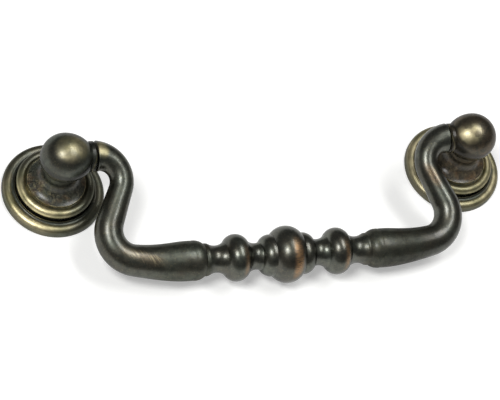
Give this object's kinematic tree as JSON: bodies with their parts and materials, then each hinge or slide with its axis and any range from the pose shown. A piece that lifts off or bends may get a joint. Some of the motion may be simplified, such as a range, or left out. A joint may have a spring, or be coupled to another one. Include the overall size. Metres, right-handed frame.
{
  "type": "bail pull",
  "caption": "Swan-neck drop handle for a drawer: a turned bail swings between two ball-topped posts that stand on stepped round rosettes.",
  "frame": {"origin": "on the mounting plane, midway between the screw holes of the two posts", "axes": "+X along the row of posts, +Z out of the mounting plane, -Y the side that the bail lies on, which is down when the pull is on a drawer"},
  "size_m": [0.1188, 0.0402, 0.0204],
  "materials": {
    "bail_patina": "brown-black antique patina over cast brass, rubbed back to copper and brass on the beads",
    "post_patina": "brown-black antique patina over cast brass, rubbed back to brass on top of the ball",
    "rosette_patina": "greenish black antique patina over cast brass, with the rolled rims rubbed bright"
  },
  "bodies": {
    "posts": {"left_post": "post_patina", "right_post": "post_patina", "left_rosette": "rosette_patina", "right_rosette": "rosette_patina"},
    "bail": {"bail": "bail_patina"}
  },
  "joints": [
    {"name": "bail_swing", "type": "hinge", "parent": "posts", "child": "bail", "pos_m": [0, 0, 0.015], "axis": [-1, 0, 0], "range_deg": [0, 221.9]}
  ]
}
